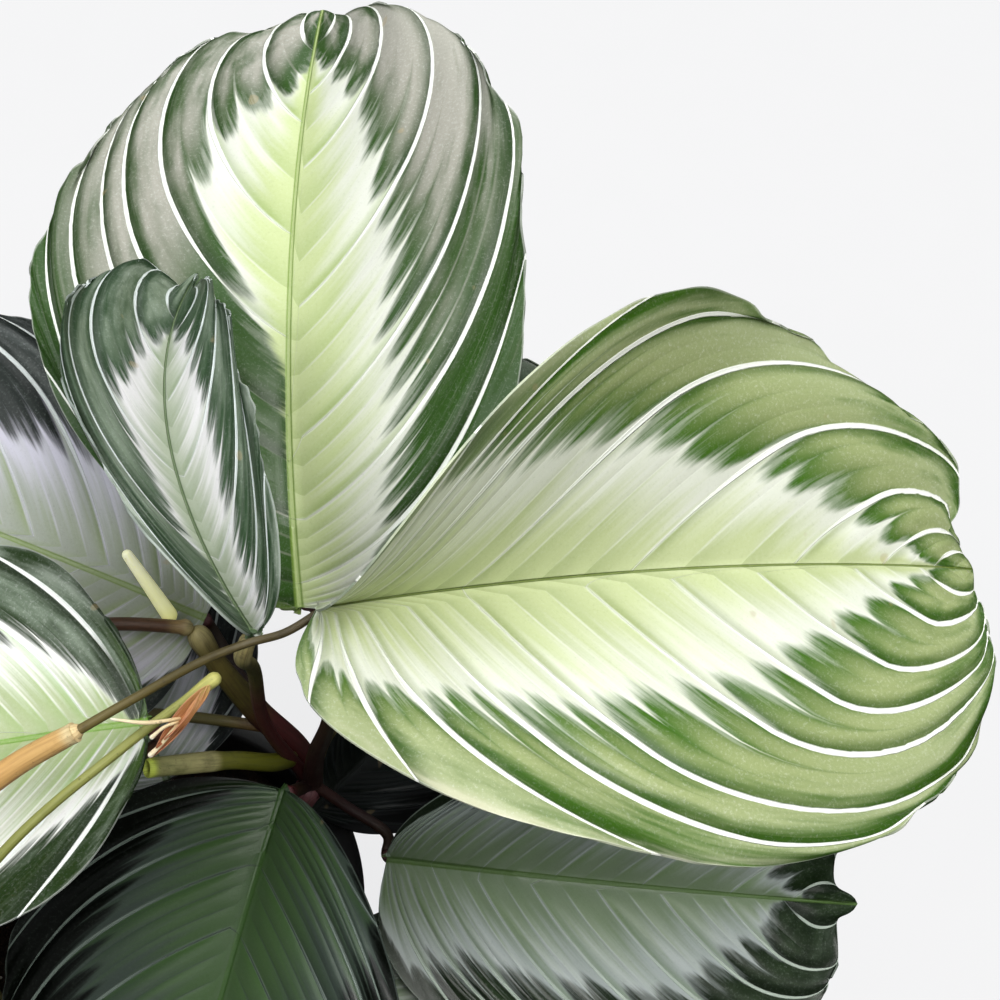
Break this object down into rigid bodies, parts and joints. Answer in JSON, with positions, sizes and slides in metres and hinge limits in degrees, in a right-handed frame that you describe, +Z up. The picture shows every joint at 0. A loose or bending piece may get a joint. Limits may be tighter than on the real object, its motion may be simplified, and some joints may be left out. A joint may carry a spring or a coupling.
{
  "type": "potted prayer plant maranta",
  "caption": "Leafy house plant in a plain round pot: oval patterned leaves with feathered pale bands on thin arching stalks, cut stalk stubs and a withered flower.",
  "frame": {"origin": "middle of the pot's underside, on the surface that the pot stands on", "axes": "+Z up out of the pot; +X towards the large right-hand leaf; +Y towards the tall back leaf; -Y is the side nearest the picture's camera"},
  "size_m": [0.3184, 0.2458, 0.2839],
  "materials": {
    "leaf_light": "satin leaf, pale feathered band on deep green",
    "leaf_shade": "satin leaf, silver feathered band on dark blue green",
    "stem": "smooth olive brown stalk",
    "flower": "dry papery bracts",
    "pot": "matte black",
    "soil": "crumbly dark potting soil"
  },
  "bodies": {
    "root": {"pot": "pot", "soil": "soil", "stem_centre": "stem", "stem_short": "stem", "stem_left": "stem", "withered_flower": "flower", "leaf_back_tall": "leaf_light", "leaf_right_large": "leaf_light", "leaf_back_small": "leaf_shade", "leaf_left_back": "leaf_shade", "leaf_left_front": "leaf_light", "leaf_front": "leaf_shade", "leaf_right_low": "leaf_shade", "leaf_back_right": "leaf_shade", "leaf_back_left": "leaf_shade", "leaf_left_low": "leaf_shade", "leaf_left_top": "leaf_light", "leaf_front_left": "leaf_shade", "leaf_front_right": "leaf_shade", "leaf_right_under": "leaf_shade"}
  },
  "joints": []
}
